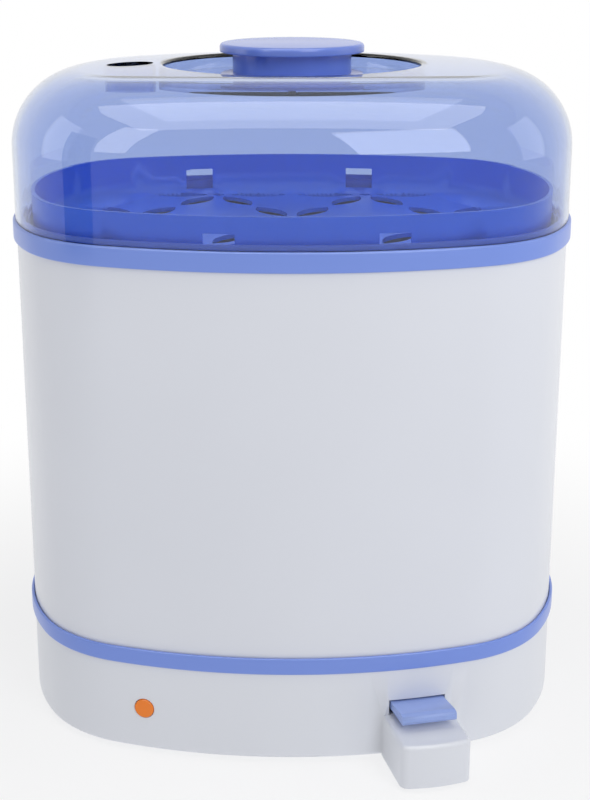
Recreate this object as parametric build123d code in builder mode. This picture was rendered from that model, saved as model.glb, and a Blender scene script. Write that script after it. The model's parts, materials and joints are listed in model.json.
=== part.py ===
from build123d import *
import math
import os

# Baby bottle steam sterilizer, oval in plan. Millimetres, +Z up, front towards -Y.
# The origin is under the middle of the bounding box, on the surface that the feet stand on.
# Each piece is drawn about the centre of the oval, and set back from the origin as it is written.

# Plan outline: end arcs, side arcs and the corner arcs that join them, all tangent
body_half_width = 140.0
body_half_depth = 105.0
side_radius = 265.0
end_radius = 124.0
corner_radius = 68.0

# How far the oval's centre stands behind the origin: half of what the switch block adds in front
body_setback = 12.7

# Heights, from the feet upwards
foot_height = 2.5
base_height = 46.2
lower_ring_height = 8.6
sleeve_shown_height = 189.5
upper_ring_height = 9.7
lid_height = 74.5

# General clearances, and how far a cut runs past what it cuts
fit = 0.3
running_fit = 0.05
cut_over = 1.0

# Base housing
base_inset = 1.6
base_wall = 2.6
base_edge_radius = 3.0
base_rim_width = 7.0
basin_depth = 4.7
deck_thickness = 3.0
boss_wall = 2.2

# Bottom cover, its feet and screws
cover_thickness = 2.5
cover_screw_from_end = 42.0
cover_screw_from_side = 61.0
cover_screw_grip = 10.0
screw_radius = 1.5
screw_head_radius = 2.9
screw_head_height = 1.6
foot_radius = 9.0
foot_stem_radius = 4.0
foot_chamfer = 0.6
foot_from_end = 56.0
foot_from_side = 51.0
vent_slot_length = 26.0
vent_slot_width = 2.4
vent_slot_pitch = 7.0
vent_slot_rows = 5

# Heating plate and what hangs under it
plate_radius = 68.5
plate_thickness = 2.2
plate_below_deck = 0.3
pan_depth = 0.8
plate_hole_radius = 10.8
plate_thread_depth = 1.4
plate_screw_count = 3
plate_screw_circle_radius = 64.2
plate_screw_turn = 30.0
gasket_width = 8.0
gasket_thickness = 1.5
plate_seat_thickness = 3.0
element_circle_radius = 48.0
element_width = 8.0
element_height = 6.0
element_edge = 1.2
element_sweep = 300.0
element_pin_radius = 1.9
element_pin_length = 7.0
fuse_radius = 2.2
fuse_length = 14.0
fuse_y = -27.0
clip_thickness = 0.8
clip_width = 5.0
clip_span = 15.0

# Magnetic thermostat at the middle of the plate
cup_radius = 10.5
cup_wall = 0.8
cup_height = 13.9
cup_stand_proud = 0.2
cup_edge_radius = 0.4
cup_flange_radius = 13.0
ferrite_height = 2.5
magnet_height = 2.6
magnet_radius = 9.0
magnet_rest_gap = 0.4
plunger_rod_radius = 2.0
plunger_flange_radius = 5.0
plunger_flange_height = 1.5
plunger_tail = 3.5
spring_wire_radius = 0.35
spring_coil_radius = 3.6
spring_turns = 4
spring_length = 9.0

# Press switch: block, lever, pin and arm, laid out square to the wall they pass through
switch_x = 61.6
block_width = 35.0
block_reach = 32.0
block_bow = 2.0
block_top = 24.5
block_wall = 2.2
block_throat = 3.0
block_corner_radius = 4.5
block_edge_radius = 2.2
lever_width = 27.0
lever_reach = 20.0
lever_gap = 4.3
lever_travel = 4.0
lever_tip_thickness = 4.2
lever_tip_rise = 0.4
lever_lip_length = 4.0
lever_neck_thickness = 4.0
lever_neck_top = 31.6
lever_edge_radius = 1.3
lever_slot_gap = 0.8
lever_slot_sill = 0.2
pivot_depth = 34.0
pivot_z = 29.0
pin_radius = 1.5
hub_radius = 4.2
hub_width = 22.0
hub_side_gap = 0.4
heel_depth = 5.0
heel_drop = 6.5
ear_thickness = 3.0
ear_width = 9.0
arm_width = 8.0
arm_thickness = 1.6
arm_run = 16.0
arm_eye_radius = 6.0
arm_eye_slack = 1.5
micro_switch_length = 20.0
micro_switch_width = 6.4
micro_switch_height = 10.0
micro_switch_depth = 53.0
micro_button_height = 1.4
micro_button_radius = 1.2

# Pilot lamp
lamp_x = -73.0
lamp_z = 25.0
lens_radius = 4.9
lens_wall = 1.2
lens_proud = 0.7
lens_collar_radius = 6.6
lens_collar_height = 1.5
lamp_tube_wall = 2.0
lamp_tube_length = 10.0
holder_length = 10.0
lamp_radius = 3.0
lamp_length = 9.0

# Cord inlet in the back wall, and the terminal block behind it
inlet_z = 20.0
inlet_radius = 6.0
gland_bore_radius = 3.4
gland_flange_radius = 8.5
gland_flange_height = 2.0
gland_edge_radius = 0.7
gland_lock_radius = 7.0
gland_lock_height = 1.6
terminal_x = 60.0
terminal_y = 62.0
terminal_length = 24.0
terminal_width = 12.0
terminal_height = 12.0
terminal_screw_count = 3
terminal_screw_radius = 2.0
terminal_screw_depth = 3.0
terminal_screw_pitch = 7.5

# Sleeve and its two trim rings
sleeve_inset = 1.8
sleeve_wall = 2.5
ring_lip = 1.5
ring_web = 2.5
ring_skirt_wall = 2.0
ring_skirt_depth = 7.0
ring_edge_radius = 1.2
locating_gap = 0.4
locating_depth = 2.7
tray_ledge_drop = 6.2
tray_ledge_inset = 13.0
tray_ledge_thickness = 2.2
lid_bead_height = 2.5
lid_bead_width = 1.6

# Bottle rack
rack_inset = 14.0
rack_floor_z = 56.0
rack_floor_thickness = 2.4
well_wall = 2.0
collar_shoulder = 0.8
well_height = 14.0
well_edge_gap = 14.0
outer_well_from_end = 61.0
outer_well_centre_gap = 11.5
middle_well_centre_gap = 14.0
well_rib_width = 3.0
well_rib_height = 2.0
rack_leg_radius = 4.0
rack_leg_pin_radius = 2.0
rack_end_leg_inset = 24.0
rack_side_leg_from_end = 100.0
rack_side_leg_inset = 22.0
post_radius = 6.0
post_pin_radius = 3.5
post_height = 160.0
grip_width = 42.0
grip_height = 26.0
grip_bar = 7.0
grip_thickness = 9.0
grip_corner = 9.0
grip_hole_corner = 3.0

# Small-parts tray
tray_rim_inset = 8.6
tray_height = 20.7
tray_wall = 2.0
tray_floor = 2.2
tray_draft = 1.5
tray_slot_width = 14.5
tray_slot_height = 10.5
tray_front_slots = (-33.0, 46.6)
tray_back_slots = (-51.7, 37.4)
flower_pitch = 80.0
petal_count = 6
petal_inner = 6.0
petal_outer = 37.0
petal_width = 12.0
flower_eye_radius = 3.0
flower_margin = 7.0

# Lid
lid_inset = 1.3
lid_wall = 2.2
lid_shoulder_radius = 37.0
lid_crown_radius = 2000.0
dish_shoulder_gap = 3.2
dish_floor_drop = 8.0
dish_edge_radius = 1.2
vent_dish_gap = 5.0
vent_bore_radius = 11.5
vent_wall = 1.2
vent_tube_length = 12.5

# Lid knob
knob_flange_radius = 35.5
knob_flange_height = 2.3
knob_flange_edge = 0.8
knob_neck_radius = 29.3
knob_neck_height = 10.3
knob_neck_wall = 2.5
knob_cap_radius = 35.6
knob_cap_height = 4.2
knob_cap_edge = 1.8
knob_boss_radius = 5.0
knob_screw_radius = 2.0
knob_screw_head_radius = 4.2
knob_screw_head_height = 2.4
knob_screw_head_edge = 1.2
knob_screw_grip = 8.0
knob_screw_spare = 1.0
knob_washer_height = 1.0
knob_washer_radius = 6.0

# Levels worked out from the heights above
base_top = foot_height + base_height
deck_top = base_top - basin_depth
deck_bottom = deck_top - deck_thickness
cover_top = foot_height + cover_thickness
sleeve_bottom = base_top + ring_web
lower_ring_top = base_top + lower_ring_height
upper_ring_bottom = lower_ring_top + sleeve_shown_height
upper_ring_top = upper_ring_bottom + upper_ring_height
sleeve_top = upper_ring_top - ring_web
tray_bottom = upper_ring_top - tray_ledge_drop
tray_top = tray_bottom + tray_height
lid_top = upper_ring_top + lid_height
dish_floor = lid_top - dish_floor_drop

# Places that follow the body's width and depth
cover_screw_x = body_half_width - cover_screw_from_end
cover_screw_y = body_half_depth - cover_screw_from_side
foot_x = body_half_width - foot_from_end
foot_y = body_half_depth - foot_from_side
rack_end_leg_x = body_half_width - rack_end_leg_inset
rack_side_leg_x = body_half_width - rack_side_leg_from_end
rack_side_leg_y = body_half_depth - rack_side_leg_inset
collar_radius = (body_half_depth - rack_inset - well_edge_gap - middle_well_centre_gap) / 2
well_radius = collar_radius - well_wall
middle_well_y = middle_well_centre_gap + collar_radius
outer_well_x = body_half_width - outer_well_from_end
outer_well_y = outer_well_centre_gap + collar_radius
dish_radius = body_half_depth - lid_inset - lid_shoulder_radius - dish_shoulder_gap
vent_x = -(dish_radius + vent_dish_gap + vent_bore_radius)

# Insets of the rings' walls
skirt_outer_inset = sleeve_inset + sleeve_wall + fit
skirt_inner_inset = skirt_outer_inset + ring_skirt_wall
locating_outer_inset = base_inset + base_rim_width + locating_gap
locating_inner_inset = locating_outer_inset + ring_skirt_wall
bead_outer_inset = lid_inset + lid_wall + locating_gap
bead_inner_inset = bead_outer_inset + lid_bead_width

# Centres and angles of the outline's arcs, for the quarter with positive X and Y
side_centre_y = body_half_depth - side_radius
end_centre_x = body_half_width - end_radius
centre_gap = math.hypot(end_centre_x, side_centre_y)
side_reach = side_radius - corner_radius
end_reach = end_radius - corner_radius
gap_cosine = (centre_gap**2 + side_reach**2 - end_reach**2) / (2 * centre_gap * side_reach)
side_angle = math.degrees(math.atan2(-side_centre_y, end_centre_x) - math.acos(gap_cosine))
corner_x = side_reach * math.cos(math.radians(side_angle))
corner_y = side_centre_y + side_reach * math.sin(math.radians(side_angle))
end_angle = math.degrees(math.atan2(corner_y, corner_x - end_centre_x))

os.makedirs("parts", exist_ok=True)


def keep(piece, name):
    """Set a finished piece back over the origin, label it and write it under its name."""
    placed = piece.part.moved(Pos(0, body_setback, 0))
    placed.label = name
    export_step(placed, f"parts/{name}.step")


def oval(inset=0.0):
    """The plan outline, drawn in all round by an inset, as a face on the ground."""
    side_span = 180 - 2 * side_angle
    corner_span = side_angle - end_angle
    corners = (
        (1, 1, end_angle),
        (-1, 1, 180 - side_angle),
        (-1, -1, 180 + end_angle),
        (1, -1, -side_angle),
    )
    with BuildSketch() as plan:
        with BuildLine():
            for hand, turn in ((1, 0), (-1, 180)):
                CenterArc((hand * end_centre_x, 0), end_radius - inset, turn - end_angle, 2 * end_angle)
                CenterArc((0, hand * side_centre_y), side_radius - inset, turn + side_angle, side_span)
            for x_hand, y_hand, start in corners:
                centre = (x_hand * corner_x, y_hand * corner_y)
                CenterArc(centre, corner_radius - inset, start, corner_span)
        make_face()
    return plan.sketch


def oval_block(inset, bottom, top, taper=0, mode=Mode.ADD):
    """A block of the outline between two levels, in the open part."""
    with BuildSketch(Plane.XY.offset(bottom)) as section:
        add(oval(inset))
    extrude(section.sketch, amount=top - bottom, taper=taper, mode=mode)


def oval_band(outer_inset, inner_inset, bottom, top, mode=Mode.ADD):
    """A band of the outline between two insets and two levels, in the open part."""
    with BuildSketch(Plane.XY.offset(bottom)) as section:
        add(oval(outer_inset))
        add(oval(inner_inset), mode=Mode.SUBTRACT)
    extrude(section.sketch, amount=top - bottom, mode=mode)


def round_block(radius, bottom, top, mode=Mode.ADD):
    """An upright cylinder between two levels, at each location in force."""
    with Locations((0, 0, bottom)):
        Cylinder(radius, top - bottom, align=(Align.CENTER, Align.CENTER, Align.MIN), mode=mode)


def disc_on(plane, radius, start, end, mode=Mode.ADD):
    """A cylinder along a plane's own z, between two distances from it, in the open part."""
    with BuildSketch(plane.offset(start)) as section:
        Circle(radius)
    extrude(section.sketch, amount=end - start, mode=mode)


def plate_screw_spots():
    """The places of the screws round the heating plate's rim."""
    return PolarLocations(plate_screw_circle_radius, plate_screw_count, start_angle=plate_screw_turn)


def wall_spot(inset, x):
    """Y of the front wall's outside at an X, and the wall's lean there in degrees."""
    radius = side_radius - inset
    lean = math.asin(x / radius)
    return -side_centre_y - radius * math.cos(lean), math.degrees(lean)


def bowed_block(half_width, reach, inner_depth):
    """Plan of the switch block in its own frame: straight sides and a bowed front."""
    with BuildSketch() as plan:
        with BuildLine():
            Polyline(
                (-half_width, -reach),
                (-half_width, inner_depth),
                (half_width, inner_depth),
                (half_width, -reach),
            )
            ThreePointArc((-half_width, -reach), (0, -reach - block_bow), (half_width, -reach))
        make_face()
    return plan.sketch


def petal():
    """A lens of two equal arcs along X, from a flower's eye to its petal's tip."""
    middle = (petal_inner + petal_outer) / 2
    with BuildSketch() as lens:
        with BuildLine():
            ThreePointArc((petal_inner, 0), (middle, petal_width / 2), (petal_outer, 0))
            ThreePointArc((petal_inner, 0), (middle, -petal_width / 2), (petal_outer, 0))
        make_face()
    return lens.sketch


# Frame of the switch: x along the wall, y inwards, z up, from the wall's outside
switch_wall_y, switch_lean = wall_spot(base_inset, switch_x)
switch_lean_cos = math.cos(math.radians(switch_lean))
switch_lean_sin = math.sin(math.radians(switch_lean))
switch_frame = Plane(
    (switch_x, switch_wall_y, 0),
    x_dir=(switch_lean_cos, switch_lean_sin, 0),
    z_dir=(0, 0, 1),
)
switch_side = Plane(switch_frame.origin, x_dir=switch_frame.y_dir, z_dir=switch_frame.x_dir)
plunger_spot = switch_frame.to_local_coords(Vector(0, 0, 0))

# How far the lever swings, and how far its arm lifts the plunger
arm_reach = plunger_spot.Y - pivot_depth
press_angle = math.asin(lever_travel / (pivot_depth + lever_reach))
plunger_lift = (arm_reach + plunger_flange_radius) * press_angle

# Levels of the plate and the thermostat
plate_top = deck_top - plate_below_deck
plate_bottom = plate_top - plate_thickness
plate_seat_top = plate_bottom - gasket_thickness
plate_seat_bottom = plate_seat_top - plate_seat_thickness
gasket_inner = plate_radius - gasket_width
cup_top = plate_top + cup_stand_proud
cup_bottom = cup_top - cup_height
ferrite_top = cup_top - cup_wall
ferrite_bottom = ferrite_top - ferrite_height
magnet_top = ferrite_bottom - magnet_rest_gap - plunger_lift
plunger_flange_top = cup_bottom - spring_length
plunger_flange_bottom = plunger_flange_top - plunger_flange_height
arm_top = plunger_flange_bottom - fit
arm_bottom = arm_top - arm_thickness

# Levels of the switch's other pieces
lever_slot_bottom = block_top + lever_slot_sill
lever_slot_top = lever_neck_top + lever_slot_gap
arm_lift_at_micro = (micro_switch_depth - pivot_depth) * press_angle
micro_bottom = arm_top + arm_lift_at_micro + fit + micro_button_height
micro_top = micro_bottom + micro_switch_height

# Frame of the pilot lamp: x along the wall, y up, z outwards
lamp_wall_y, lamp_lean = wall_spot(base_inset, lamp_x)
lamp_lean_cos = math.cos(math.radians(lamp_lean))
lamp_lean_sin = math.sin(math.radians(lamp_lean))
lamp_frame = Plane(
    (lamp_x, lamp_wall_y, lamp_z),
    x_dir=(lamp_lean_cos, lamp_lean_sin, 0),
    z_dir=(lamp_lean_sin, -lamp_lean_cos, 0),
)
lamp_axis = Axis(lamp_frame.origin, lamp_frame.z_dir)
lens_depth = base_wall + fit + lens_collar_height
lamp_tube_bore = lens_collar_radius + fit

# Frame of the cord inlet: z outwards through the back wall
inlet_frame = Plane((0, body_half_depth - base_inset, inlet_z), x_dir=(1, 0, 0), z_dir=(0, 1, 0))

# Switch block, a bowed box that stands on the base's front wall
block_inner_depth = base_wall + block_throat

with BuildPart() as switch_block:
    with BuildSketch(switch_frame.offset(foot_height)):
        add(bowed_block(block_width / 2, block_reach, base_wall / 2))
    extrude(amount=block_top - foot_height)
    front_corners = switch_block.edges().filter_by(Axis.Z).sort_by_distance((0, 0, 0))[-2:]
    fillet(front_corners, block_corner_radius)
    top_edges = switch_block.faces().sort_by(Axis.Z)[-1].edges().sort_by_distance((0, 0, block_top))
    fillet(top_edges[1:], block_edge_radius)

# Base housing: the wall, its rim and the hollow switch block
lever_slot_width = lever_width + 2 * lever_slot_gap

with BuildPart() as base_housing:
    oval_block(base_inset, foot_height, base_top)
    fillet(base_housing.faces().sort_by(Axis.Z)[0].edges(), base_edge_radius)
    add(switch_block.part)
    oval_block(base_inset + base_rim_width, deck_top, base_top, mode=Mode.SUBTRACT)
    oval_block(base_inset + base_wall, foot_height, deck_top, mode=Mode.SUBTRACT)
    # the block is open below, and through the wall behind it
    with BuildSketch(switch_frame.offset(foot_height)) as block_hollow:
        add(bowed_block(block_width / 2 - block_wall, block_reach - block_wall, block_inner_depth))
    extrude(block_hollow.sketch, amount=block_top - block_wall - foot_height, mode=Mode.SUBTRACT)
    # slot for the lever
    with BuildSketch(switch_side.offset(-lever_slot_width / 2)) as slot:
        with Locations((base_wall / 2, (lever_slot_bottom + lever_slot_top) / 2)):
            Rectangle(base_wall + 2 * cut_over, lever_slot_top - lever_slot_bottom)
    extrude(slot.sketch, amount=lever_slot_width, mode=Mode.SUBTRACT)
    # tube for the pilot lamp, and its hole in the wall
    disc_on(lamp_frame, lamp_tube_bore + lamp_tube_wall, -base_wall - lamp_tube_length, -base_wall / 2)
    disc_on(lamp_frame, lamp_tube_bore, -base_wall - lamp_tube_length, -base_wall, mode=Mode.SUBTRACT)
    disc_on(lamp_frame, lens_radius + fit, -base_wall - cut_over, cut_over, mode=Mode.SUBTRACT)
    # hole for the cord gland
    disc_on(inlet_frame, inlet_radius, -base_wall - cut_over, cut_over, mode=Mode.SUBTRACT)
keep(base_housing, "base_housing")

# Base deck: the basin's floor, fixed up against the rim, and what hangs under it
ear_side = hub_width / 2 + hub_side_gap

with BuildPart() as base_deck:
    oval_block(base_inset + base_wall + fit, deck_bottom, deck_top)
    round_block(plate_radius + fit + boss_wall, plate_seat_bottom, deck_bottom)
    # bosses for the bottom cover's screws
    with GridLocations(2 * cover_screw_x, 2 * cover_screw_y, 2, 2):
        round_block(screw_radius + boss_wall, cover_top, deck_bottom)
        round_block(screw_radius + running_fit, cover_top, deck_bottom - boss_wall, mode=Mode.SUBTRACT)
    # ears for the lever's pin
    for start in (-ear_side - ear_thickness, ear_side):
        with BuildSketch(switch_side.offset(start)) as ear:
            with Locations((pivot_depth, pivot_z)):
                Circle(ear_width / 2)
            with Locations((pivot_depth, (pivot_z + deck_bottom) / 2)):
                Rectangle(ear_width, deck_bottom - pivot_z)
            with Locations((pivot_depth, pivot_z)):
                Circle(pin_radius + running_fit, mode=Mode.SUBTRACT)
        extrude(ear.sketch, amount=ear_thickness)
    # post that the micro switch is fixed to
    with BuildSketch(switch_frame.offset(micro_top)) as post:
        with Locations((0, micro_switch_depth)):
            Rectangle(micro_switch_length, micro_switch_width)
    extrude(post.sketch, amount=plate_seat_bottom - micro_top)
    # seat for the gasket and the plate
    round_block(plate_radius + fit, plate_seat_top, deck_top, mode=Mode.SUBTRACT)
    round_block(gasket_inner - fit, plate_seat_bottom, deck_top, mode=Mode.SUBTRACT)
    with plate_screw_spots():
        round_block(screw_radius + fit, plate_seat_bottom, plate_seat_top, mode=Mode.SUBTRACT)
keep(base_deck, "base_deck")

# Bottom cover: a flat oval with a tongue that closes the switch block
with BuildPart() as bottom_cover:
    oval_block(base_inset + base_wall + fit, foot_height, cover_top)
    with BuildSketch(switch_frame.offset(foot_height)) as tongue:
        tongue_gap = block_wall + fit
        add(bowed_block(block_width / 2 - tongue_gap, block_reach - tongue_gap, block_inner_depth))
    extrude(tongue.sketch, amount=cover_thickness)
    with GridLocations(2 * foot_x, 2 * foot_y, 2, 2):
        round_block(foot_stem_radius + fit, foot_height, cover_top, mode=Mode.SUBTRACT)
    with GridLocations(2 * cover_screw_x, 2 * cover_screw_y, 2, 2):
        round_block(screw_radius + fit, foot_height, cover_top, mode=Mode.SUBTRACT)
        head_top = foot_height + screw_head_height
        round_block(screw_head_radius + fit, foot_height, head_top, mode=Mode.SUBTRACT)
    with BuildSketch(Plane.XY.offset(foot_height)) as vents:
        with GridLocations(vent_slot_length + vent_slot_pitch, vent_slot_pitch, 2, vent_slot_rows):
            SlotOverall(vent_slot_length, vent_slot_width)
    extrude(vents.sketch, amount=cover_thickness, mode=Mode.SUBTRACT)
keep(bottom_cover, "bottom_cover")

# Rubber feet, each plugged into the cover by a stem
with BuildPart() as rubber_feet:
    with GridLocations(2 * foot_x, 2 * foot_y, 2, 2):
        round_block(foot_radius, 0, foot_height)
    chamfer(rubber_feet.faces().group_by(Axis.Z)[0].edges(), foot_chamfer)
    with GridLocations(2 * foot_x, 2 * foot_y, 2, 2):
        round_block(foot_stem_radius, foot_height, cover_top)
keep(rubber_feet, "rubber_feet")

# Screws that hold the bottom cover, with their heads sunk in it
with BuildPart() as cover_screws:
    with GridLocations(2 * cover_screw_x, 2 * cover_screw_y, 2, 2):
        round_block(screw_head_radius, foot_height, foot_height + screw_head_height)
        round_block(screw_radius, foot_height, cover_top + cover_screw_grip)
keep(cover_screws, "cover_screws")

# Gasket under the plate's rim
with BuildPart() as plate_gasket:
    round_block(plate_radius, plate_seat_top, plate_bottom)
    round_block(gasket_inner, plate_seat_top, plate_bottom, mode=Mode.SUBTRACT)
    with plate_screw_spots():
        round_block(screw_radius + fit, plate_seat_top, plate_bottom, mode=Mode.SUBTRACT)
keep(plate_gasket, "plate_gasket")

# Heating plate: a shallow pan with a hole for the thermostat
with BuildPart() as heating_plate:
    round_block(plate_radius, plate_bottom, plate_top)
    round_block(gasket_inner, plate_top - pan_depth, plate_top, mode=Mode.SUBTRACT)
    round_block(plate_hole_radius, plate_bottom, plate_top, mode=Mode.SUBTRACT)
    with plate_screw_spots():
        thread_top = plate_bottom + plate_thread_depth
        round_block(screw_radius + running_fit, plate_bottom, thread_top, mode=Mode.SUBTRACT)
keep(heating_plate, "heating_plate")

# Screws that draw the plate down onto its gasket, from under the deck
with BuildPart() as plate_screws:
    with plate_screw_spots():
        round_block(screw_head_radius, plate_seat_bottom - screw_head_height, plate_seat_bottom)
        round_block(screw_radius, plate_seat_bottom, plate_bottom + plate_thread_depth - fit)
keep(plate_screws, "plate_screws")

# Heating element: a flat-topped ring with a pin under each end
element_start = 90 + (360 - element_sweep) / 2
element_bottom = plate_bottom - element_height
pin_turn = math.degrees(element_width / 2 / element_circle_radius)

with BuildPart() as heater_element:
    with BuildSketch(Plane.XZ.rotated((0, 0, element_start))) as section:
        with Locations((element_circle_radius, plate_bottom - element_height / 2)):
            RectangleRounded(element_width, element_height, element_edge)
    revolve(section.sketch, axis=Axis.Z, revolution_arc=element_sweep)
    for turn in (element_start + pin_turn, element_start + element_sweep - pin_turn):
        with PolarLocations(element_circle_radius, 1, start_angle=turn):
            pin_end = element_bottom - element_pin_length
            round_block(element_pin_radius, pin_end, element_bottom + element_edge)
keep(heater_element, "heater_element")

# Thermal fuse under the plate, and the saddle clip that holds it up
clip_inner = fuse_radius + fit
clip_outer = clip_inner + clip_thickness
fuse_z = plate_bottom - clip_outer

with BuildPart() as thermal_fuse:
    with BuildSketch(Plane.YZ.offset(-fuse_length / 2)) as section:
        with Locations((fuse_y, fuse_z)):
            Circle(fuse_radius)
    extrude(section.sketch, amount=fuse_length)
keep(thermal_fuse, "thermal_fuse")

with BuildPart() as fuse_clip:
    with BuildSketch(Plane.YZ.offset(-clip_width / 2)) as section:
        with Locations((fuse_y, plate_bottom - clip_thickness / 2)):
            Rectangle(clip_span, clip_thickness)
        for radius, mode in ((clip_outer, Mode.ADD), (clip_inner, Mode.SUBTRACT)):
            with Locations((fuse_y, fuse_z)):
                Circle(radius, mode=mode)
            with Locations((fuse_y, (fuse_z + plate_bottom) / 2)):
                Rectangle(2 * radius, plate_bottom - fuse_z, mode=mode)
    extrude(section.sketch, amount=clip_width)
keep(fuse_clip, "fuse_clip")

# Thermostat cup through the plate, with a flange under it and a lip that the spring bears on
with BuildPart() as thermostat_cup:
    round_block(cup_radius, cup_bottom, cup_top)
    fillet(thermostat_cup.faces().sort_by(Axis.Z)[-1].edges(), cup_edge_radius)
    round_block(cup_flange_radius, plate_bottom - cup_wall, plate_bottom)
    round_block(cup_radius - cup_wall, cup_bottom + cup_wall, ferrite_top, mode=Mode.SUBTRACT)
    round_block(plunger_rod_radius + fit, cup_bottom, cup_bottom + cup_wall, mode=Mode.SUBTRACT)
keep(thermostat_cup, "thermostat_cup")

with BuildPart() as ferrite_disc:
    round_block(magnet_radius, ferrite_bottom, ferrite_top)
keep(ferrite_disc, "ferrite_disc")

# Plunger: magnet above, rod, and the flange that the arm's eye lifts
with BuildPart() as thermostat_plunger:
    round_block(magnet_radius, magnet_top - magnet_height, magnet_top)
    round_block(plunger_flange_radius, plunger_flange_bottom, plunger_flange_top)
    round_block(plunger_rod_radius, arm_bottom - plunger_tail, magnet_top)
keep(thermostat_plunger, "thermostat_plunger")

# Spring between the cup's lip and the plunger's flange
with BuildPart() as plunger_spring:
    coil_bottom = plunger_flange_top + spring_wire_radius
    coil_height = spring_length - 2 * spring_wire_radius
    with BuildLine() as coil:
        Helix(coil_height / spring_turns, coil_height, spring_coil_radius, center=(0, 0, coil_bottom))
    with BuildSketch(Plane(coil.line @ 0, z_dir=coil.line % 0)):
        Circle(spring_wire_radius)
    sweep(path=coil.line, is_frenet=True)
keep(plunger_spring, "plunger_spring")

# Press lever: paddle, neck through the wall, and a hub on the pin with a heel below it
lever_tip_bottom = block_top + lever_gap
lever_tip_top = lever_tip_bottom + lever_tip_thickness
hub_reach = pivot_depth - hub_radius - ear_width / 2

with BuildPart() as switch_lever:
    with BuildSketch(switch_side.offset(-lever_width / 2)) as profile:
        with BuildLine():
            Polyline(
                (pivot_depth, pivot_z - lever_neck_thickness / 2),
                (base_wall, lever_neck_top - lever_neck_thickness),
                (lever_lip_length - lever_reach, lever_tip_bottom),
                (-lever_reach, lever_tip_bottom),
                (-lever_reach, lever_tip_top),
                (lever_lip_length - lever_reach, lever_tip_top + lever_tip_rise),
                (-base_wall, lever_neck_top),
                (pivot_depth, pivot_z + lever_neck_thickness / 2),
                close=True,
            )
        make_face()
        with Locations((pivot_depth, pivot_z)):
            Circle(hub_radius)
        with Locations((pivot_depth, pivot_z - heel_drop / 2)):
            Rectangle(heel_depth, heel_drop)
        with Locations((pivot_depth, pivot_z)):
            Circle(pin_radius + running_fit, mode=Mode.SUBTRACT)
    extrude(profile.sketch, amount=lever_width)
    # the hub is narrower than the paddle, to pass between the ears
    for start in (-lever_width / 2, hub_width / 2):
        with BuildSketch(switch_side.offset(start)) as relief:
            with Locations((hub_reach, pivot_z)):
                Rectangle(pivot_depth, 4 * hub_radius, align=(Align.MIN, Align.CENTER))
        extrude(relief.sketch, amount=(lever_width - hub_width) / 2, mode=Mode.SUBTRACT)
    edges_across = switch_lever.edges().filter_by(Axis((0, 0, 0), switch_frame.x_dir))
    fillet(edges_across.sort_by_distance((0, 0, pivot_z))[-3:], lever_edge_radius)
keep(switch_lever, "switch_lever")

with BuildPart() as lever_pin:
    pin_half = ear_side + ear_thickness
    with BuildSketch(switch_side.offset(-pin_half)) as section:
        with Locations((pivot_depth, pivot_z)):
            Circle(pin_radius)
    extrude(section.sketch, amount=2 * pin_half)
keep(lever_pin, "lever_pin")

# Steel arm: a tab on the lever's heel, then a cranked strip with an eye under the plunger's flange
heel_back = pivot_depth + heel_depth / 2
elbow = Vector(0, pivot_depth + arm_run)
eye_slot_length = 2 * (plunger_rod_radius + arm_eye_slack)

with BuildPart() as lever_arm:
    with BuildSketch(switch_frame.offset(arm_bottom)) as strip:
        with Locations((0, heel_back)):
            Rectangle(arm_width, elbow.Y - heel_back, align=(Align.CENTER, Align.MIN))
        SlotCenterPoint((elbow + plunger_spot) / 2, elbow, arm_width)
        with Locations(plunger_spot):
            Circle(arm_eye_radius)
            SlotOverall(eye_slot_length, 2 * (plunger_rod_radius + fit), rotation=90, mode=Mode.SUBTRACT)
    extrude(strip.sketch, amount=arm_thickness)
    with BuildSketch(switch_frame.offset(arm_bottom)) as tab:
        with Locations((0, heel_back)):
            Rectangle(arm_width, arm_thickness, align=(Align.CENTER, Align.MIN))
    extrude(tab.sketch, amount=pivot_z - hub_radius - arm_bottom)
keep(lever_arm, "lever_arm")

# Micro switch over the arm, with its button downwards
with BuildPart() as micro_switch:
    with BuildSketch(switch_frame.offset(micro_bottom)) as body:
        with Locations((0, micro_switch_depth)):
            Rectangle(micro_switch_length, micro_switch_width)
    extrude(body.sketch, amount=micro_switch_height)
    with BuildSketch(switch_frame.offset(micro_bottom)) as button:
        with Locations((0, micro_switch_depth)):
            Circle(micro_button_radius)
    extrude(button.sketch, amount=-micro_button_height)
keep(micro_switch, "micro_switch")

# Pilot lamp: lens with a collar behind the wall, holder behind the lens, lamp in the holder
with BuildPart() as indicator_lens:
    disc_on(lamp_frame, lens_radius, -lens_depth, lens_proud)
    fillet(indicator_lens.faces().sort_by(lamp_axis)[-1].edges(), lens_proud)
    disc_on(lamp_frame, lens_collar_radius, -lens_depth, lens_collar_height - lens_depth)
    disc_on(lamp_frame, lens_radius - lens_wall, -lens_depth, -lens_wall, mode=Mode.SUBTRACT)
keep(indicator_lens, "indicator_lens")

holder_back = -lens_depth - holder_length

with BuildPart() as lamp_holder:
    disc_on(lamp_frame, lens_collar_radius, holder_back, -lens_depth)
    disc_on(lamp_frame, lamp_radius + fit, holder_back, -lens_depth, mode=Mode.SUBTRACT)
keep(lamp_holder, "lamp_holder")

with BuildPart() as indicator_lamp:
    disc_on(lamp_frame, lamp_radius, holder_back + fit, holder_back + fit + lamp_length)
keep(indicator_lamp, "indicator_lamp")

# Cord gland: a grommet with a flange outside the back wall and a lock ring inside it
gland_inner = -base_wall - fit
gland_back = gland_inner - gland_lock_height
gland_front = fit + gland_flange_height

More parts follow.
